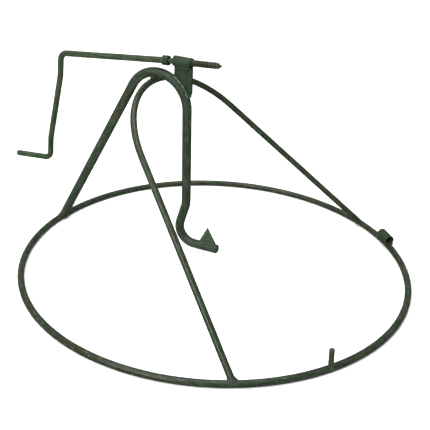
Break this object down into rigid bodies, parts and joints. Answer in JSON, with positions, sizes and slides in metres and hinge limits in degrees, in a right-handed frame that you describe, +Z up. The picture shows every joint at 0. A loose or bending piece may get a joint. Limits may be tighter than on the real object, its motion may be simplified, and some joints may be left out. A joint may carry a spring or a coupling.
{
  "type": "tree stand",
  "caption": "Ring-base stand for a cut tree trunk: round bar ring, bent hook bar with a spike, slanting arch brace, and a crank that turns a pointed lag screw into the trunk.",
  "frame": {"origin": "middle of the rectangle that the stand covers, on the floor", "axes": "+X along the screw, from the crank towards the trunk; +Y to its left; +Z up"},
  "size_m": [0.5812, 0.5084, 0.2702],
  "materials": {
    "bar_enamel": "semi-gloss dark green enamel over bent bar, slightly uneven",
    "fitting_enamel": "semi-gloss dark green enamel over tube and plate",
    "weld_enamel": "green enamel over rippled weld beads, glossier on the ridges",
    "crank_enamel": "semi-gloss green enamel, a little yellower and worn at the bends",
    "screw_steel": "dull darkened steel with an oily brown-green film"
  },
  "bodies": {
    "frame": {"base_ring": "bar_enamel", "main_bar": "bar_enamel", "arch_bar": "bar_enamel", "screw_sleeve": "fitting_enamel", "gusset_plate": "fitting_enamel", "spike_plate": "fitting_enamel", "socket_tube": "fitting_enamel", "peg": "bar_enamel", "weld_main_foot": "weld_enamel", "weld_arch_foot_near": "weld_enamel", "weld_arch_foot_far": "weld_enamel", "weld_arch_top": "weld_enamel", "weld_gusset_near": "weld_enamel", "weld_gusset_far": "weld_enamel", "weld_sleeve_near": "weld_enamel", "weld_sleeve_far": "weld_enamel", "weld_spike_near": "weld_enamel", "weld_spike_far": "weld_enamel", "weld_socket_inner": "weld_enamel", "weld_socket_outer": "weld_enamel", "weld_peg": "weld_enamel"},
    "washer": {"washer": "screw_steel"},
    "crank": {"lag_screw": "screw_steel", "crank_nut": "crank_enamel", "crank_rod": "crank_enamel", "weld_crank": "crank_enamel"}
  },
  "joints": [
    {"name": "screw_travel", "type": "slide", "parent": "frame", "child": "washer", "axis": [0.9974, 0, 0.0715], "range_m": [-0.042, 0.005]},
    {"name": "screw_turn", "type": "hinge", "parent": "washer", "child": "crank", "pos_m": [-0.02017, 0, 0.2627], "axis": [0.9974, 0, 0.0715], "continuous": true}
  ]
}
